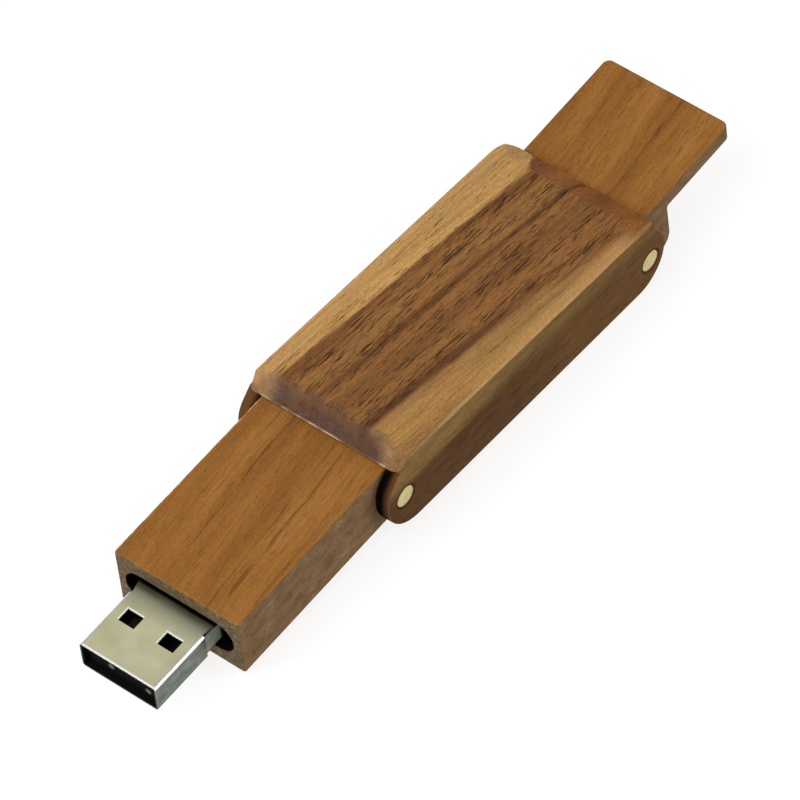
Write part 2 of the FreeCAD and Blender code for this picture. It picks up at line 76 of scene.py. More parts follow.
# The cover and the stick.  Heights and widths start at their pins and middle planes.
COVER_HALF_WIDTH = 12.0
COVER_TOP, COVER_RIDGE, COVER_CEILING = 8.2, 6.75, 5.1
REAR_BEVEL = PIN_SPAN - 2.85
PIN_RADIUS = 1.60
STICK_HALF_WIDTH, STICK_HALF_HEIGHT = 9.8, 4.95
SLOT_HALF_WIDTH, SLOT_HALF_HEIGHT = 8.45, 2.6

# The plug shell.  Lengths start at its mouth, and heights and widths at its middle.
PLUG_HALF_WIDTH, PLUG_HALF_HEIGHT = 6.0, 2.25
SHEET, BEND = 0.3, 0.5
INNER_WIDTH, INNER_HEIGHT = PLUG_HALF_WIDTH - SHEET, PLUG_HALF_HEIGHT - SHEET
TUBE_END, FLARE_END, SHEET_END = 9.6, 11.7, 14.0
LEG_START, LEG_END = 12.6, 19.2
LEG_BOTTOM, LEG_TOP = -1.2, 0.4
WINDOW_START, WINDOW_END = 5.45, 7.5
WINDOW_MIDDLE, WINDOW_HALF = 3.08, 1.25


def plug_place():
    """The plug's mouth and its middle height in the stick's frame."""
    turn = angle_about_y(-STICK[1])
    points = [turn @ (NODES["usb_shell"].matrix_world @ vertex.co - STICK[0]) / MM
              for vertex in NODES["usb_shell"].data.vertices]
    levels = [point.z for point in points]
    return min(point.x for point in points), (min(levels) + max(levels)) / 2


PLUG_MOUTH, PLUG_LEVEL = plug_place()


# ---------------------------------------------------------------- shader building

def srgb(red, green, blue):
    """A colour given in 0 to 255 display values, as linear light."""
    def linear(value):
        value /= 255
        return value / 12.92 if value <= 0.04045 else ((value + 0.055) / 1.055) ** 2.4
    return (linear(red), linear(green), linear(blue), 1.0)


class Shader:
    """A node material, and short ways of adding nodes to it."""

    def __init__(self, name):
        self.material = bpy.data.materials.new(name)
        self.material.use_nodes = True
        self.tree = self.material.node_tree
        self.surface = self.tree.nodes["Principled BSDF"]

    def node(self, kind, settings=None, **inputs):
        made = self.tree.nodes.new(kind)
        for key, value in (settings or {}).items():
            setattr(made, key, value)
        for key, value in inputs.items():
            self.feed(made.inputs[key.replace("_", " ")], value)
        return made

    def feed(self, socket, value):
        if isinstance(value, bpy.types.NodeSocket):
            self.tree.links.new(value, socket)
        else:
            socket.default_value = value

    def math(self, operation, first, second=0.0, third=0.0, clamp=False):
        made = self.node("ShaderNodeMath", {"operation": operation, "use_clamp": clamp})
        for socket, value in zip(made.inputs, (first, second, third)):
            self.feed(socket, value)
        return made.outputs[0]

    def add(self, first, second):
        return self.math("ADD", first, second)

    def times(self, first, *others):
        for other in others:
            first = self.math("MULTIPLY", first, other)
        return first

    def largest(self, first, *others):
        for other in others:
            first = self.math("MAXIMUM", first, other)
        return first

    def absolute(self, value):
        return self.math("ABSOLUTE", value)

    def line(self, value, slope, start, clamp=False):
        """The height of a straight line that starts at start and climbs by slope."""
        return self.math("MULTIPLY_ADD", value, slope, start, clamp)

    def radius(self, first, second):
        """How far the point with these two coordinates is from zero."""
        squares = self.add(self.times(first, first), self.times(second, second))
        return self.math("SQRT", squares)

    def fade(self, value, start, end, low=0.0, high=1.0):
        """A smooth step from low at start to high at end."""
        made = self.node("ShaderNodeMapRange", {"interpolation_type": "SMOOTHSTEP"},
                         Value=value, From_Min=start, From_Max=end, To_Min=low, To_Max=high)
        return made.outputs[0]

    def within(self, value, outer_low, low, high, outer_high):
        """One between low and high, fading to zero at the outer pair."""
        return self.times(self.fade(value, outer_low, low), self.fade(value, outer_high, high))

    def mix_value(self, share, first, second):
        """A number part of the way from first to second."""
        return self.line(share, self.math("SUBTRACT", second, first), first)

    def mix(self, share, first, second, blend="MIX"):
        made = self.node("ShaderNodeMix", {"data_type": "RGBA", "blend_type": blend})
        for index, value in ((0, share), (6, first), (7, second)):
            self.feed(made.inputs[index], value)
        return made.outputs[2]

    def tint(self, share, colour, factor):
        """The colour, multiplied by the factor where share is 1."""
        return self.mix(share, colour, factor, "MULTIPLY")

    def noise(self, vector, scale, detail=3.0, roughness=0.5, distortion=0.0):
        """Noise with its own scale along each axis, from 0 to 1."""
        stretched = self.node("ShaderNodeVectorMath", {"operation": "MULTIPLY"})
        self.feed(stretched.inputs[0], vector)
        stretched.inputs[1].default_value = scale
        made = self.node("ShaderNodeTexNoise", Vector=stretched.outputs[0], Scale=1.0,
                         Detail=detail, Roughness=roughness, Distortion=distortion)
        return made.outputs["Fac"]

    def ramp(self, value, *stops):
        """A colour for each value.  A stop is a value and its colour."""
        made = self.node("ShaderNodeValToRGB", Fac=value)
        elements = made.color_ramp.elements
        for index, (position, colour) in enumerate(stops):
            element = elements[index] if index < 2 else elements.new(position)
            element.position = position
            element.color = colour
        return made.outputs["Color"]

    def place(self, body_frame):
        """The point's place in a body's own frame, in millimetres, and its three parts."""
        origin, turn = body_frame
        inverse = angle_about_y(-turn)
        coordinates = self.node("ShaderNodeTexCoord")
        mapped = self.node("ShaderNodeMapping", Vector=coordinates.outputs["Object"],
                           Location=-(inverse @ origin) / MM,
                           Rotation=(0, math.radians(-turn), 0), Scale=(1 / MM,) * 3)
        parts = self.node("ShaderNodeSeparateXYZ", Vector=mapped.outputs[0])
        return mapped.outputs[0], *parts.outputs

    def normal(self, body_frame):
        """The three parts of the rest surface normal, in a body's own frame."""
        coordinates = self.node("ShaderNodeTexCoord")
        mapped = self.node("ShaderNodeMapping", {"vector_type": "VECTOR"},
                           Vector=coordinates.outputs["Normal"],
                           Rotation=(0, math.radians(-body_frame[1]), 0))
        return self.node("ShaderNodeSeparateXYZ", Vector=mapped.outputs[0]).outputs

    def join(self, x, y, z):
        return self.node("ShaderNodeCombineXYZ", X=x, Y=y, Z=z).outputs[0]

    def bump(self, height, strength, distance):
        made = self.node("ShaderNodeBump", Height=height, Strength=strength,
                         Distance=distance)
        self.feed(self.surface.inputs["Normal"], made.outputs[0])

    def finish(self, **inputs):
        for key, value in inputs.items():
            self.feed(self.surface.inputs[key.replace("_", " ")], value)
        return self.material


# ---------------------------------------------------------------- wood

HEART_DARK = srgb(127, 83, 41)
HEART_LINE = srgb(98, 61, 31)
HEART_MID = srgb(147, 98, 49)
HEART_PALE = srgb(153, 107, 55)
SAP_DARK = srgb(184, 138, 76)
SAP_PALE = srgb(206, 160, 96)
SAP_EDGE = srgb(132, 90, 50)
SAP_OLIVE = srgb(172, 128, 68)
PORE = srgb(56, 33, 17)
STREAK_TINT = srgb(170, 150, 132)
# Painted shade for the cover's sides.
FLANK_SHADE = srgb(189, 196, 198)
COOL_TINT = srgb(206, 200, 206)
# The painted highlight on the cover's ridges.
RIDGE_HIGHLIGHT = srgb(196, 158, 110)
# The painted highlight on the cover's right bevel.
BEVEL_HIGHLIGHT = srgb(196, 150, 90)
BEVEL_STAIN = srgb(132, 92, 52)
# Painted shade on the cheeks' front ends.
CHEEK_END_SHADE = srgb(14, 8, 4)
CHEEK_ARRIS = srgb(106, 72, 44)
# The painted highlight on the lip under the front facet.
LIP_HIGHLIGHT = srgb(204, 176, 142)
# The painted shade in the gap round each pin.
PIN_GAP_SHADE = srgb(34, 22, 12)
OIL_DARK = srgb(134, 86, 34)
OIL_MID = srgb(149, 98, 40)
OIL_PALE = srgb(162, 111, 50)
OIL_STREAK = srgb(118, 71, 28)
OIL_GOLD = srgb(172, 119, 58)
OIL_LINE = srgb(96, 58, 24)
# Sawn side colours, darkened as painted shade.
SAWN_SHADED_DARK = srgb(104, 78, 50)
SAWN_SHADED_MID = srgb(126, 98, 66)
SAWN_SHADED_PALE = srgb(134, 108, 78)
SAWN_SCUFF = srgb(178, 162, 138)
# The painted highlight on the stick's left arris.
ARRIS_HIGHLIGHT = srgb(206, 176, 128)
# The painted shade inside the stick's slot.
SLOT_SHADE = srgb(10, 8, 6)
# End grain colours, darkened as painted shade.
END_SHADED_DARK = srgb(78, 62, 42)
END_SHADED_MID = srgb(113, 97, 73)
END_SHADED_PALE = srgb(148, 132, 106)


def grain_place(s, place, x, y, z, slope):
    """The place with its grain lines laid straight along X, and a little waviness."""
    wave = s.noise(place, (0.045, 0.10, 0.10), 1.0)
    sway = s.times(s.add(wave, -0.5), 1.6)
    across = s.add(s.line(x, slope, y), sway)
    return across, s.join(x, across, z)


def pores(s, grain, scale, share, sharpness):
    """Dark dashes along the grain.  share is the noise level above which they show."""
    dash = s.noise(grain, scale, 2.0, 0.5)
    return s.math("MULTIPLY", s.math("SUBTRACT", dash, share), sharpness, clamp=True)


def speckled(s, place, colour):
    """The colour with faint, fine, even mottling over it."""
    speck = s.noise(place, (2.6, 4.2, 4.2), 3.0, 0.7)
    light = s.tint(1.0, colour, (1.12, 1.14, 1.22, 1.0))
    dark = s.tint(1.0, colour, (0.90, 0.87, 0.80, 1.0))
    return s.mix(s.fade(speck, 0.34, 0.66), dark, light)


def heartwood_share(s, x, y, z, fuzz, flank):
    """How much of the wood is heartwood, and how far inside its right-hand boundary it is."""
    # Sapwood lies outside two planes that slope down and out from the top.
    outward, upward = 0.625, 0.781
    top = s.times(s.add(z, -COVER_TOP), -upward)
    left_edge = s.line(x, 0.055, -8.2)
    past_bend = s.largest(s.add(x, -28.0), 0.0)
    right_edge = s.line(past_bend, -0.025, s.line(x, 0.0875, 5.7))
    left = s.line(s.add(y, left_edge), -outward, top)
    right = s.line(s.add(y, right_edge), outward, top)
    left = s.add(left, fuzz)
    right = s.line(fuzz, 0.7, right)

    # On the sides the boundary sits lower, more so to the rear, and is less sharp.
    right = s.line(flank, s.line(x, -0.018, -1.5), right)
    sharpness = s.fade(flank, 0.0, 1.0, 2.2, 0.9)
    heart = s.times(s.fade(left, -0.22, 0.22), s.line(right, sharpness, 1.0, clamp=True))
    rear_side = s.times(flank, s.fade(x, 6.0, 44.0, 0.0, 0.55))
    return s.largest(heart, rear_side), right


def heartwood(s, x, across, fuzz):
    """The heartwood's colour, band by band across the board."""
    banding = s.line(s.line(fuzz, 1.4, across), 1 / (2 * COVER_HALF_WIDTH), 0.5)
    bands = s.ramp(banding, (0.00, HEART_DARK), (0.22, HEART_DARK), (0.262, HEART_LINE),
                   (0.295, HEART_MID), (0.36, HEART_MID), (0.45, HEART_DARK),
                   (0.53, HEART_MID), (0.565, HEART_MID), (0.588, HEART_LINE),
                   (0.615, HEART_MID), (0.70, HEART_PALE), (0.76, HEART_MID),
                   (0.82, HEART_DARK), (1.00, HEART_DARK))
    fading = s.times(s.fade(x, 22.0, 34.0, 0.0, 0.8), s.fade(across, -4.4, -5.2))
    return s.mix(fading, bands, HEART_MID)


def sapwood(s, x, y, grain, right):
    """The sapwood's colour: straw on the left, more olive on the right."""
    tone = s.noise(grain, (0.03, 0.8, 0.8), 3.0)
    straw = s.ramp(tone, (0.30, SAP_DARK), (0.70, SAP_PALE))
    olive = s.mix(s.fade(right, -0.2, -2.0), SAP_EDGE, SAP_OLIVE)
    olive = s.mix(s.fade(tone, 0.3, 0.7, 0.0, 0.35), olive, SAP_PALE)
    colour = s.mix(s.fade(y, 0.0, -1.0), straw, olive)
    return s.tint(s.fade(x, 12.0, 42.0), colour, (0.94, 0.94, 0.93, 1.0))


def cover_pores(s, place, grain, y, heart, faint):
    """The dark dashes of the open pores, crowded in bands and fainter where faint is 1."""
    crowd = s.noise(grain, (0.07, 0.50, 0.50), 2.0)
    limit = s.line(crowd, -0.42, s.fade(heart, 0.0, 1.0, 0.832, 0.800))
    coarse = pores(s, place, (0.38, 6.4, 6.4), limit, 18.0)
    limit = s.line(crowd, -0.30, s.fade(heart, 0.0, 1.0, 0.785, 0.725))
    fine = pores(s, place, (0.60, 11.0, 11.0), limit, 12.0)
    pore = s.largest(s.times(coarse, 0.95), s.times(fine, 0.62))
    in_sapwood = s.fade(y, -1.0, 1.0, 0.35, 0.85)
    return s.times(pore, s.mix_value(heart, in_sapwood, 0.95),
                   s.fade(faint, 0.0, 1.0, 1.0, 0.45))


def front_facet(s, place, x, y, z, ragged, colour):
    """The colour with the dusty grey of the top plate's cross-cut front end."""
    smudge = s.line(ragged, 4.2, x)
    in_front = s.times(s.fade(smudge, 1.3, -0.7), s.fade(z, 4.6, 5.2))
    mottle = s.noise(place, (0.75, 0.42, 0.9), 6.0, 0.66)
    dusty = s.ramp(mottle, (0.34, srgb(84, 56, 36)), (0.48, srgb(112, 82, 60)),
                   (0.58, srgb(112, 92, 84)), (0.70, srgb(140, 120, 112)))
    tip = s.times(s.fade(x, 0.4, -0.9), s.fade(mottle, 0.38, 0.56))
    dusty = s.tint(tip, dusty, COOL_TINT)
    tan = s.ramp(mottle, (0.34, srgb(130, 95, 62)), (0.66, srgb(174, 138, 96)))
    middle = s.within(y, -10.4, -8.0, 7.2, 9.2)
    return s.mix(s.times(in_front, 0.86), colour, s.mix(middle, tan, dusty))


def cover_highlights_and_stain(s, place, x, y, z, streak, off_side, colour):
    """The colour with painted highlights on the ridges and on the right bevel, and a stain at the bevel's front.
    """
    # The ridges between the bevels and the sides are paled: a painted highlight, in patches.
    from_ridge = s.absolute(s.add(z, -COVER_RIDGE))
    ridge = s.times(s.fade(from_ridge, 0.40, 0.02),
                    s.fade(s.absolute(y), COVER_HALF_WIDTH - 0.6, COVER_HALF_WIDTH - 0.2))
    ridge_highlight_patches = s.fade(s.noise(place, (0.25, 1.5, 1.5), 4.0), 0.35, 0.65, 0.25, 0.75)
    colour = s.mix(s.times(ridge, ridge_highlight_patches), colour, RIDGE_HIGHLIGHT)

    # The right bevel takes a painted highlight, most towards the rear, and is stained at its front.
    shine = s.times(s.fade(y, -9.9, -11.2), s.fade(x, 6.0, 30.0, 0.1, 0.7),
                    s.fade(x, 48.6, 44.6), off_side)
    colour = s.mix(shine, colour, BEVEL_HIGHLIGHT)
    stain = s.times(s.fade(y, -9.6, -11.4), s.fade(x, 18.0, 3.0),
                    s.fade(streak, 0.40, 0.58, 0.35, 0.85), off_side)
    return s.mix(stain, colour, BEVEL_STAIN)


def cover_wood():
    s = Shader("cover_wood")
    place, x, y, z = s.place(COVER)
    across, grain = grain_place(s, place, x, y, z, 0.058)
    fuzz = s.add(s.noise(grain, (0.06, 0.9, 0.9), 4.0), -0.5)
    ragged = s.add(s.noise(place, (0.5, 0.45, 0.5), 5.0, 0.65), -0.5)
    sideways = s.absolute(s.normal(COVER)["Y"])
    flank = s.fade(sideways, 0.70, 0.97)
    off_side = s.fade(flank, 0.6, 0.0)
    on_rear_bevel = s.fade(s.line(ragged, 0.6, x), REAR_BEVEL - 0.55, REAR_BEVEL + 0.15)

    heart, right = heartwood_share(s, x, y, z, fuzz, flank)
    colour = s.mix(heart, sapwood(s, x, y, grain, right), heartwood(s, x, across, fuzz))

    # Short lengthwise streaks, then the pores.
    streak = s.noise(grain, (0.11, 3.6, 3.6), 5.0, 0.6)
    colour = s.tint(s.fade(streak, 0.46, 0.70, 0.0, 0.45), colour, STREAK_TINT)
    colour = s.tint(s.fade(streak, 0.48, 0.30, 0.0, 0.22), colour, (1.35, 1.35, 1.35, 1.0))
    pore = cover_pores(s, place, grain, y, heart, s.largest(flank, on_rear_bevel))
    colour = s.mix(pore, colour, PORE)

    # The ends show cross-cut grain: a dusty grey one in front, and behind one tinted reddish dark as painted shade
    # of a bevel turned away from the light.
    colour = front_facet(s, place, x, y, z, ragged, colour)
    rear_bevel_shade = s.times(on_rear_bevel, heart, off_side)
    colour = s.tint(rear_bevel_shade, colour, (1.01, 0.86, 0.73, 1.0))
    colour = cover_highlights_and_stain(s, place, x, y, z, streak, off_side, colour)

    # The sides are a greyer cut of the same board, and darkened as painted shade.  The cheeks' front ends are
    # painted nearly black as shade, apart from their outer arrises, and the left one pales 0.8 mm further in.
    colour = s.tint(flank, colour, FLANK_SHADE)
    nose = s.times(s.fade(z, COVER_CEILING + 0.06, COVER_CEILING - 0.06),
                   s.fade(x, 2.0, 0.5), s.fade(sideways, 0.75, 0.35))
    outward = s.largest(s.add(y, 0.8), s.times(y, -1.0))
    nose_shade = s.mix(s.fade(outward, 10.6, COVER_HALF_WIDTH), CHEEK_END_SHADE, CHEEK_ARRIS)
    colour = s.mix(nose, colour, nose_shade)

    # A painted highlight runs along the lip under the front facet, and painted shade of the gap lies round each
    # pin.
    lip = s.times(s.within(z, COVER_CEILING - 0.15, COVER_CEILING - 0.05,
                           COVER_CEILING + 0.18, COVER_CEILING + 0.30),
                  s.fade(x, -0.7, -1.0), s.fade(s.absolute(y), 10.0, 9.7))
    lip_highlight_patches = s.fade(s.noise(place, (0.6, 0.35, 0.6), 4.0, 0.6), 0.40, 0.62, 0.10, 0.85)
    colour = s.mix(s.times(lip, lip_highlight_patches), colour, LIP_HIGHLIGHT)
    for pin_x in (0.0, PIN_SPAN):
        from_pin = s.radius(s.add(x, -pin_x), z)
        ring = s.times(s.fade(from_pin, PIN_RADIUS + 0.45, PIN_RADIUS + 0.15), flank)
        colour = s.mix(s.times(ring, 0.75), colour, PIN_GAP_SHADE)

    colour = speckled(s, place, colour)
    fibre = s.noise(grain, (0.5, 12.0, 12.0), 3.0, 0.6)
    s.bump(s.line(pore, -1.0, s.times(fibre, 0.3)), 0.6, 0.00007)
    gloss = s.line(pore, 0.2, s.fade(streak, 0.3, 0.7, 0.44, 0.58))
    gloss = s.largest(gloss, s.times(nose, 0.9))
    sheen = s.fade(s.largest(flank, nose), 0.0, 1.0, 0.16, 0.02)
    return s.finish(Base_Color=colour, Roughness=gloss, Specular_IOR_Level=sheen)


def sawn_and_shaded_wood(s, place, streak, scuff, endways, sideways):
    """The colour of a sawn face: greyer, scuffed and pale in places, or end grain, and darker than the top as
    painted shade.
    """
    sawn = s.ramp(scuff, (0.32, SAWN_SHADED_DARK), (0.52, SAWN_SHADED_MID), (0.64, SAWN_SHADED_PALE),
                  (0.80, SAWN_SCUFF))
    sawn = s.mix(s.fade(streak, 0.45, 0.70, 0.0, 0.35), sawn, SAWN_SHADED_DARK)
    end_grain = s.ramp(s.noise(place, (0.8, 1.6, 1.6), 6.0, 0.7),
                       (0.30, END_SHADED_DARK), (0.55, END_SHADED_MID), (0.75, END_SHADED_PALE))
    endmost = s.math("SUBTRACT", endways, sideways)
    return s.mix(s.fade(endmost, -0.1, 0.1), sawn, end_grain)


def stick_highlight_and_slot_shade(s, place, y, z, endways, colour):
    """The colour with a painted highlight on the stick's left arris and painted shade in its slot."""
    # A painted highlight along the left top arris, in patches.
    arris = s.times(s.fade(y, STICK_HALF_WIDTH - 0.30, STICK_HALF_WIDTH - 0.08),
                    s.fade(z, STICK_HALF_HEIGHT - 0.35, STICK_HALF_HEIGHT - 0.10))
    arris_highlight_patches = s.fade(s.noise(place, (0.9, 0.9, 0.9), 3.0), 0.42, 0.62, 0.25, 1.0)
    colour = s.mix(s.times(arris, arris_highlight_patches), colour, ARRIS_HIGHLIGHT)
    # Painted shade inside the slot.
    inside = s.times(s.fade(endways, 0.9, 0.7),
                     s.fade(s.absolute(y), SLOT_HALF_WIDTH + 0.10, SLOT_HALF_WIDTH + 0.05),
                     s.fade(s.absolute(z), SLOT_HALF_HEIGHT + 0.15, SLOT_HALF_HEIGHT + 0.10))
    return s.mix(inside, colour, SLOT_SHADE)


def oiled_wood(name, body_frame, slope, dark_lines, seed):
    """Warm, fine-grained wood.  seed moves its grain, so that no two pieces are alike.

    A dark line is its place across the grain, its half width and its strength.
    """
    s = Shader(name)
    place, x, y, z = s.place(body_frame)
    across, grain = grain_place(s, place, x, y, z, slope)
    moved = s.node("ShaderNodeVectorMath", {"operation": "ADD"})
    s.feed(moved.inputs[0], grain)
    moved.inputs[1].default_value = (seed * 3.1, seed * 7.7, seed * 5.3)
    grain = moved.outputs[0]

    tone = s.noise(grain, (0.035, 0.33, 0.33), 3.0)
    colour = s.ramp(tone, (0.30, OIL_DARK), (0.50, OIL_MID), (0.72, OIL_PALE))
    streak = s.noise(grain, (0.13, 4.6, 4.6), 5.0, 0.62)
    colour = s.mix(s.fade(streak, 0.50, 0.70, 0.0, 0.45), colour, OIL_STREAK)
    colour = s.mix(s.fade(streak, 0.46, 0.30, 0.0, 0.30), colour, OIL_GOLD)

    # A few long dark lines run the length of the piece and break up along the way.
    broken = s.noise(grain, (0.14, 0.8, 0.8), 4.0)
    jitter = s.times(s.add(s.noise(grain, (0.20, 1.4, 1.4), 4.0), -0.5), 1.3)
    for position, width, strength in dark_lines:
        offset = s.absolute(s.add(s.add(across, -position), jitter))
        mark = s.times(s.fade(offset, width, 0.0), s.fade(broken, 0.38, 0.60, 0.15, strength))
        colour = s.mix(mark, colour, OIL_LINE)

    crowd = s.noise(grain, (0.06, 0.5, 0.5), 2.0)
    pore = pores(s, grain, (0.42, 8.5, 8.5), s.line(crowd, -0.32, 0.765), 10.0)
    colour = s.mix(s.times(pore, 0.60), colour, OIL_LINE)

    facing = s.normal(body_frame)
    endways = s.absolute(facing["X"])
    raw = s.fade(s.absolute(facing["Z"]), 0.80, 0.45)
    scuff = s.noise(place, (0.35, 0.5, 0.6), 6.0, 0.66, 0.3)
    sawn = sawn_and_shaded_wood(s, place, streak, scuff, endways, s.absolute(facing["Y"]))
    # The sides and ends are darker than the top: painted shade.
    colour = s.mix(raw, colour, sawn)
    if body_frame is STICK:
        colour = stick_highlight_and_slot_shade(s, place, y, z, endways, colour)
    colour = speckled(s, place, colour)

    fibre = s.noise(grain, (0.6, 14.0, 14.0), 3.0, 0.6)
    relief = s.line(pore, -0.8, s.times(fibre, 0.3))
    s.bump(s.line(s.times(scuff, raw), 1.2, relief), 0.5, 0.00006)
    gloss = s.line(raw, 0.18, s.fade(streak, 0.3, 0.7, 0.46, 0.58))
    sheen = s.fade(raw, 0.0, 1.0, 0.14, 0.05)
    return s.finish(Base_Color=colour, Roughness=gloss, Specular_IOR_Level=sheen)


# ---------------------------------------------------------------- metal, plastic and the rest

def window_rims(s, y, depth, upward):
    """One on the rear and left rims of the two latch windows, which take a painted highlight."""
    rim, blur = 0.16, 0.06
    lengthwise = s.within(depth, WINDOW_START - 0.03, WINDOW_START + 0.07,
                          WINDOW_END + rim, WINDOW_END + rim + blur)
    crosswise = [s.within(s.add(y, -centre), -WINDOW_HALF, -WINDOW_HALF + 0.10,
                          WINDOW_HALF + rim, WINDOW_HALF + rim + blur)
                 for centre in (-WINDOW_MIDDLE, WINDOW_MIDDLE)]
    return s.times(lengthwise, s.largest(*crosswise), s.fade(upward, 0.6, 0.9))


def plated_steel():
    s = Shader("plug_steel")
    place, x, y, z = s.place(STICK)
    facing = s.normal(STICK)
    endways, sideways = s.absolute(facing["X"]), s.absolute(facing["Y"])
    depth = s.add(x, -PLUG_MOUTH)
    height = s.absolute(s.add(z, -PLUG_LEVEL))
    aside = s.absolute(y)

    # The steel's khaki is partly a painted reflection of its surroundings.  The top darkens towards the wood as
    # painted shade and reflection of the wood, the sides take a darker grey-green painted reflection, and the
    # mouth's cut edge is dark.
    cloud = s.noise(place, (0.30, 0.30, 0.30), 3.0, 0.5)
    colour = s.ramp(cloud, (0.30, srgb(184, 180, 144)), (0.55, srgb(196, 192, 157)),
                    (0.75, srgb(208, 204, 172)))
    colour = s.mix(s.fade(depth, 6.5, 11.4, 0.0, 0.75), colour, srgb(108, 112, 100))
    wall_reflection = s.ramp(s.noise(place, (0.5, 0.5, 0.8), 5.0, 0.6), (0.30, srgb(78, 84, 72)),
                    (0.55, srgb(104, 112, 100)), (0.80, srgb(136, 144, 132)))
    colour = s.mix(s.fade(sideways, 0.90, 0.99), colour, wall_reflection)
    mouth_end = s.times(s.fade(endways, 0.93, 0.985), s.fade(depth, 0.4, 0.3))
    colour = s.mix(mouth_end, colour, srgb(40, 44, 38))

    # The eased edges, the window rims and the sheet's cut edges take painted highlights, fainter towards the rear.
    edge = s.times(s.fade(facing["Z"], 0.20, 0.40),
                   s.fade(s.largest(endways, sideways), 0.12, 0.30))
    rim = s.times(s.fade(depth, 0.30, 0.22), s.fade(facing["Z"], 0.20, 0.40))
    rim = s.largest(rim, window_rims(s, y, depth, facing["Z"]))
    cut = s.times(s.fade(height, INNER_HEIGHT + 0.03, INNER_HEIGHT + 0.05),
                  s.fade(facing["Z"], 0.6, 0.3), s.fade(depth, 0.9, 1.0),
                  s.fade(aside, 5.2, 5.0))
    bright = s.times(s.largest(edge, rim, cut), s.fade(depth, 10.2, 9.4, 0.25, 1.0))
    colour = s.mix(bright, colour, srgb(250, 250, 246))
    # Painted shade where the plug meets the wood.
    colour = s.mix(s.fade(depth, 11.15, 11.6), colour, srgb(26, 26, 22))

    # The inside of the plug is painted dark and dull as shade, with two painted spots of light near its mouth.
    inside = s.times(s.fade(aside, INNER_WIDTH + 0.06, INNER_WIDTH + 0.04),
                     s.fade(height, INNER_HEIGHT + 0.05, INNER_HEIGHT + 0.03))
    from_light_spot = s.radius(s.add(depth, -1.9), s.add(aside, -WINDOW_MIDDLE))
    dark = s.mix(s.fade(from_light_spot, 0.55, 0.15), srgb(8, 8, 7), srgb(92, 104, 92))
    colour = s.mix(inside, colour, dark)
    brushed = s.noise(place, (0.6, 18.0, 18.0), 3.0, 0.6)
    scratch = s.noise(place, (2.0, 2.0, 2.0), 6.0, 0.7)
    s.bump(s.add(s.times(brushed, 0.6), s.times(scratch, 0.3)), 0.08, 0.00002)
    gloss = s.line(brushed, 0.06, s.fade(cloud, 0.3, 0.7, 0.26, 0.34))
    gloss = s.largest(gloss, s.times(inside, 0.8), s.times(s.largest(rim, cut), 0.55))
    return s.finish(Base_Color=colour, Metallic=s.fade(inside, 0.0, 1.0, 1.0, 0.0),
                    Roughness=gloss, Specular_IOR_Level=0.1)


def metal(name, dark, light, roughness, body_frame):
    s = Shader(name)
    place, *_ = s.place(body_frame)
    cloud = s.noise(place, (1.2, 1.2, 1.2), 5.0, 0.65)
    colour = s.ramp(cloud, (0.30, srgb(*dark)), (0.72, srgb(*light)))
    scratch = s.noise(place, (9.0, 3.0, 9.0), 4.0, 0.6)
    s.bump(scratch, 0.15, 0.00003)
    gloss = s.line(scratch, 0.08, s.fade(cloud, 0.3, 0.7, roughness, roughness + 0.12))
    return s.finish(Base_Color=colour, Metallic=1.0, Roughness=gloss)


def moulded(name, dark, light):
    """A shader with the grit of plastic, its cloudy colour, the cloud and the place."""
    s = Shader(name)
    place, x, y, z = s.place(STICK)
    cloud = s.noise(place, (1.6, 1.6, 1.6), 5.0, 0.6)
    colour = s.ramp(cloud, (0.30, srgb(*dark)), (0.72, srgb(*light)))
    s.bump(s.noise(place, (16.0, 16.0, 16.0), 3.0, 0.6), 0.25, 0.00003)
    return s, colour, cloud, (x, y, z)


def plastic(name, dark, light, roughness):
    s, colour, cloud, _ = moulded(name, dark, light)
    gloss = s.fade(cloud, 0.3, 0.7, roughness, roughness + 0.12)
    return s.finish(Base_Color=colour, Roughness=gloss)


def tongue_plastic():
    """Dull black, with two painted spots of light at the tongue's front."""
    s, colour, cloud, (x, y, z) = moulded("insulator_plastic", (5, 6, 5), (11, 12, 11))
    near = s.fade(x, PLUG_MOUTH + 1.5, PLUG_MOUTH + 1.3)
    for spot_y, spot_z in ((2.0, -0.48), (-3.8, -1.0)):
        from_light_spot = s.radius(s.add(y, -spot_y), s.add(z, -PLUG_LEVEL - spot_z))
        spot = s.times(s.fade(from_light_spot, 0.60, 0.20), near)
        colour = s.mix(spot, colour, srgb(104, 118, 106))
    gloss = s.fade(cloud, 0.3, 0.7, 0.75, 0.9)
    return s.finish(Base_Color=colour, Roughness=gloss, Specular_IOR_Level=0.08)


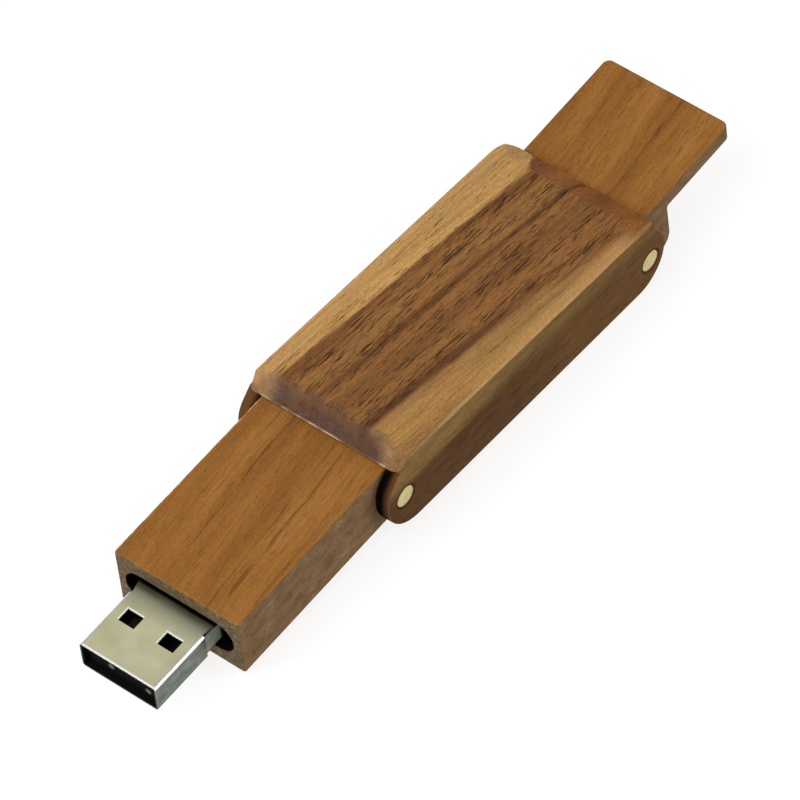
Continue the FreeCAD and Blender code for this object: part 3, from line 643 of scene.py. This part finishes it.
MATERIALS = {
    "cover_wood": cover_wood(),
    "stick_wood": oiled_wood("stick_wood", STICK, -0.085,
                             [(4.5, 0.30, 0.80), (-4.0, 0.36, 0.72), (-2.4, 0.22, 0.7),
                              (6.6, 0.20, 0.6), (-7.4, 0.20, 0.5), (1.4, 0.18, 0.35)], 1.0),
    "cap_wood": oiled_wood("cap_wood", CAP, -0.088,
                           [(-4.1, 0.34, 0.95), (1.4, 0.18, 0.4), (5.9, 0.18, 0.55),
                            (4.4, 0.16, 0.5)], 4.0),
    "pin_brass": metal("pin_brass", (182, 168, 112), (214, 202, 148), 0.34, COVER),
    "plug_steel": plated_steel(),
    "insulator_plastic": tongue_plastic(),
    # Its grey-green is partly the light grey plastic's own colour, partly painted shade.
    "frame_plastic": plastic("frame_plastic", (140, 146, 126), (176, 182, 160), 0.45),
    # The contacts are painted dark as the shade inside the plug.
    "contact_metal": metal("contact_metal", (40, 37, 28), (60, 55, 42), 0.55, STICK),
    "board_laminate": plastic("board_laminate", (14, 66, 36), (26, 92, 52), 0.30),
    "chip_plastic": plastic("chip_plastic", (20, 20, 22), (38, 38, 40), 0.50),
    "crystal_can": metal("crystal_can", (168, 168, 162), (206, 206, 200), 0.30, STICK),
    "capacitor_ceramic": plastic("capacitor_ceramic", (138, 106, 74), (172, 140, 104), 0.45),
    "resistor_black": plastic("resistor_black", (26, 26, 30), (44, 44, 48), 0.40),
    "solder": metal("solder", (182, 184, 186), (222, 224, 226), 0.22, STICK),
    "glue": plastic("glue", (206, 198, 168), (228, 222, 196), 0.30),
}


def paint(obj, slot):
    obj.data.materials.clear()
    obj.data.materials.append(MATERIALS[slot])


for node_name, node in NODES.items():
    paint(node, SLOTS[node_name])


# ---------------------------------------------------------------- pieces

EASED_ANGLE = math.radians(28)
FLAT_ANGLE = math.radians(0.6)


def smooth_piece(name, mesh, sharp_angle):
    """An object with the mesh, shaded smooth except across its sharp edges."""
    for polygon in mesh.polygons:
        polygon.use_smooth = True
    mesh.set_sharp_from_angle(angle=sharp_angle)
    piece = bpy.data.objects.new(name, mesh)
    bpy.context.scene.collection.objects.link(piece)
    return piece


def finished_mesh(name, work):
    mesh = bpy.data.meshes.new(name)
    work.to_mesh(mesh)
    work.free()
    return mesh


def merge_flat_faces(work):
    bmesh.ops.dissolve_limit(work, angle_limit=FLAT_ANGLE, verts=work.verts,
                             edges=work.edges)


def stand_in(name, mesh, node_name, body, width, segments):
    """Puts the mesh in place of a CAD node, with its sharp edges eased."""
    piece = smooth_piece(name, mesh, EASED_ANGLE)
    bevel = piece.modifiers.new("eased_edges", "BEVEL")
    bevel.width = width * MM
    bevel.segments = segments
    bevel.limit_method = "ANGLE"
    bevel.angle_limit = EASED_ANGLE
    bevel.use_clamp_overlap = True
    bevel.harden_normals = True
    bevel.miter_outer = "MITER_ARC"
    smooth = piece.modifiers.new("flat_faces_stay_flat", "WEIGHTED_NORMAL")
    smooth.mode = "FACE_AREA"
    smooth.weight = 100
    smooth.keep_sharp = True
    paint(piece, SLOTS[node_name])
    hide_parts(node_name)
    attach(piece, body)


def softened(name, node_name, body, width, segments=3):
    """A copy of a CAD piece with its sharp edges eased, which stands for the CAD node."""
    work = bmesh.new()
    work.from_mesh(NODES[node_name].data)
    bmesh.ops.remove_doubles(work, verts=work.verts, dist=2e-6)
    merge_flat_faces(work)
    stand_in(name, finished_mesh(name, work), node_name, body, width, segments)


softened("walnut_cover", "cover", "cover", 0.35, 4)
softened("stick_body", "stick_block", "stick", 0.22)
softened("cap_lid", "cap", "cap", 0.22)


def slab(front, rear, low, high):
    """A cell between two cross-cuts, each (x, near y, far y), from low to high."""
    return [(x, y, z) for x, first, second in (front, rear)
            for y, z in ((first, low), (second, low), (second, high), (first, high))]


def pairs(values):
    return list(zip(values, values[1:]))


def plug_cells():
    """The plug shell as cells that share whole faces: half rings, front then rear."""
    bend_y, bend_z = PLUG_HALF_WIDTH - BEND, PLUG_HALF_HEIGHT - BEND
    window = (WINDOW_MIDDLE - WINDOW_HALF, WINDOW_MIDDLE + WINDOW_HALF)
    cuts = (0.0, *window, 5.2, bend_y)
    wide_cuts = (0.0, *window, INNER_WIDTH, PLUG_HALF_WIDTH)
    top = (INNER_HEIGHT, PLUG_HALF_HEIGHT)
    bottom = (-PLUG_HALF_HEIGHT, -INNER_HEIGHT)
    wall = (INNER_WIDTH, PLUG_HALF_WIDTH)
    arc = [(bend_y + BEND * math.sin(turn), bend_z + BEND * math.cos(turn))
           for turn in (math.radians(90 * step / 10) for step in range(11))]
    corner = (INNER_WIDTH, INNER_HEIGHT)
    fan = [[corner, (bend_y, INNER_HEIGHT), arc[0]], [corner, arc[-1], (INNER_WIDTH, bend_z)]]
    fan += [[corner, first, second] for first, second in pairs(arc)]
    side = [(INNER_WIDTH, -bend_z), (PLUG_HALF_WIDTH, -bend_z),
            (PLUG_HALF_WIDTH, bend_z), (INNER_WIDTH, bend_z)]

    # The closed tube, with a gap for the latch window above and below.
    cells = []
    for front, back in pairs((0.0, WINDOW_START, WINDOW_END, TUBE_END)):
        for low, high in pairs(cuts):
            if (front, low) == (WINDOW_START, window[0]):
                continue
            cells.append(slab((front, low, high), (back, low, high), *top))
            cells.append(slab((front, low, high), (back, low, high), *bottom))
        for ring in fan:
            for up in (1, -1):
                cells.append([(x, y, z * up) for x in (front, back) for y, z in ring])
        cells.append([(x, y, z) for x in (front, back) for y, z in side])

    # The two sheets behind the tube.  The top one widens, and a leg folds down from it.
    for (low, high), (wide_low, wide_high) in zip(pairs(cuts), pairs(wide_cuts)):
        stations = [(TUBE_END, low, high)]
        stations += [(x, wide_low, wide_high) for x in (FLARE_END, LEG_START, SHEET_END)]
        for front, back in pairs(stations):
            cells.append(slab(front, back, *top))
        cells.append(slab((TUBE_END, low, high), (SHEET_END, low, high), *bottom))
    for low, high in pairs((LEG_BOTTOM, LEG_TOP, INNER_HEIGHT)):
        cells.append(slab((LEG_START, *wall), (SHEET_END, *wall), low, high))
    cells.append(slab((SHEET_END, *wall), (LEG_END, *wall), LEG_BOTTOM, LEG_TOP))
    return cells + [[(x, -y, z) for x, y, z in cell] for cell in cells]


def outer_faces(cells):
    """The faces that only one cell has, as rounded points."""
    faces = {}
    for cell in cells:
        half = len(cell) // 2
        front, back = cell[:half], cell[half:]
        walls = [front, back]
        for i in range(half):
            j = (i + 1) % half
            walls.append([front[i], front[j], back[j], back[i]])
        for wall in walls:
            points = [tuple(round(value, 4) for value in point) for point in wall]
            shared = frozenset(points)
            if shared in faces:
                del faces[shared]
            else:
                faces[shared] = points
    return faces.values()


def pressed_shell():
    """The plug's shell: the cells' outer faces, with every sheared edge eased."""
    work = bmesh.new()
    vertices = {}
    turn = angle_about_y(STICK[1])
    for points in outer_faces(plug_cells()):
        for point in points:
            if point not in vertices:
                place = Vector((PLUG_MOUTH + point[0], point[1], PLUG_LEVEL + point[2]))
                vertices[point] = work.verts.new(STICK[0] + turn @ place * MM)
        work.faces.new([vertices[point] for point in points])
    bmesh.ops.recalc_face_normals(work, faces=work.faces)
    merge_flat_faces(work)
    stand_in("plug_shell", finished_mesh("plug_shell", work), "usb_shell", "stick", 0.13, 4)


pressed_shell()


def turned_pin(name, node_name, centre):
    """A brass pin with slightly domed, eased ends, a hair narrower than its hole."""
    low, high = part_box(node_name)
    half = (high.y - low.y) / 2 / MM
    profile = [
        (0.0, half),
        (PIN_RADIUS * 0.55, half - 0.015),
        (PIN_RADIUS - 0.16, half - 0.05),
        (PIN_RADIUS - 0.05, half - 0.10),
        (PIN_RADIUS, half - 0.20),
    ]
    profile += [(r, -y) for r, y in reversed(profile)]
    sides = 64
    work = bmesh.new()
    rings = []
    for r, y in profile:
        count = sides if r else 1
        ring = []
        for i in range(count):
            turn = math.tau * i / sides
            offset = Vector((r * math.cos(turn), y, r * math.sin(turn))) * MM
            ring.append(work.verts.new(centre + offset))
        rings.append(ring)
    for first, second in pairs(rings):
        for i in range(sides):
            corners = [ring[(i + step) % len(ring)]
                       for ring, steps in ((first, (0, 1)), (second, (1, 0))) for step in steps]
            # At a pole two corners are one point, which a face may hold only once.
            work.faces.new(list(dict.fromkeys(corners)))
    bmesh.ops.recalc_face_normals(work, faces=work.faces)
    piece = smooth_piece(name, finished_mesh(name, work), math.radians(40))
    paint(piece, "pin_brass")
    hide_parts(node_name)
    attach(piece, "cover")


turned_pin("front_pin", "front_hinge_pin", front_pin)
turned_pin("rear_pin", "rear_hinge_pin", rear_pin)


# ---------------------------------------------------------------- floor, light and camera

WHITE = (1, 1, 1, 1)


def flat_floor(size):
    work = bmesh.new()
    bmesh.ops.create_grid(work, x_segments=1, y_segments=1, size=size)
    mesh = finished_mesh("floor", work)
    floor = bpy.data.objects.new("floor", mesh)
    floor.location.z = -0.2 * MM
    bpy.context.scene.collection.objects.link(floor)
    s = Shader("floor_paper")
    s.finish(Base_Color=(0.22, 0.22, 0.22, 1), Roughness=0.9, Specular_IOR_Level=0.1,
             Emission_Color=WHITE, Emission_Strength=0.84)
    mesh.materials.append(s.material)


def softbox(name, place, size, power):
    """A rectangular lamp that faces the object."""
    light = bpy.data.lights.new(name, "AREA")
    light.shape = "RECTANGLE"
    light.size, light.size_y = size
    light.energy = power
    lamp = bpy.data.objects.new(name, light)
    lamp.location = place
    lamp.rotation_euler = (-Vector(place)).to_track_quat("-Z", "Y").to_euler()
    bpy.context.scene.collection.objects.link(lamp)


flat_floor(3.0)
softbox("key", (-0.42, 0.10, 0.75), (0.55, 0.55), 3.5)
softbox("ceiling", (0.50, 0.42, 0.80), (0.9, 0.9), 1.9)
softbox("right_strip", (0.36, -0.62, 0.38), (0.28, 0.62), 2.0)
softbox("front_strip", (-0.56, 0.32, 0.36), (0.28, 0.62), 1.9)

world = bpy.data.worlds.new("studio")
world.use_nodes = True
world.node_tree.nodes["Background"].inputs["Color"].default_value = WHITE
world.node_tree.nodes["Background"].inputs["Strength"].default_value = 0.22
bpy.context.scene.world = world
bpy.context.scene.view_settings.view_transform = "Standard"
bpy.context.scene.view_settings.look = "None"

# The photograph's viewpoint, fitted to the object's straight edges.
lens = bpy.data.cameras.new("camera")
lens.sensor_width = 36.0
lens.lens = 295.053
lens.clip_start = 0.01
camera = bpy.data.objects.new("camera", lens)
right = Vector((0.616887, -0.786375, -0.032635))
up = Vector((0.616306, 0.456853, 0.641446))
back = Vector((-0.489507, -0.415812, 0.766474))
camera.matrix_world = (Matrix.Translation((-0.404277, -0.342883, 0.635964))
                       @ Matrix((right, up, back)).transposed().to_4x4())
bpy.context.scene.collection.objects.link(camera)
bpy.context.scene.camera = camera
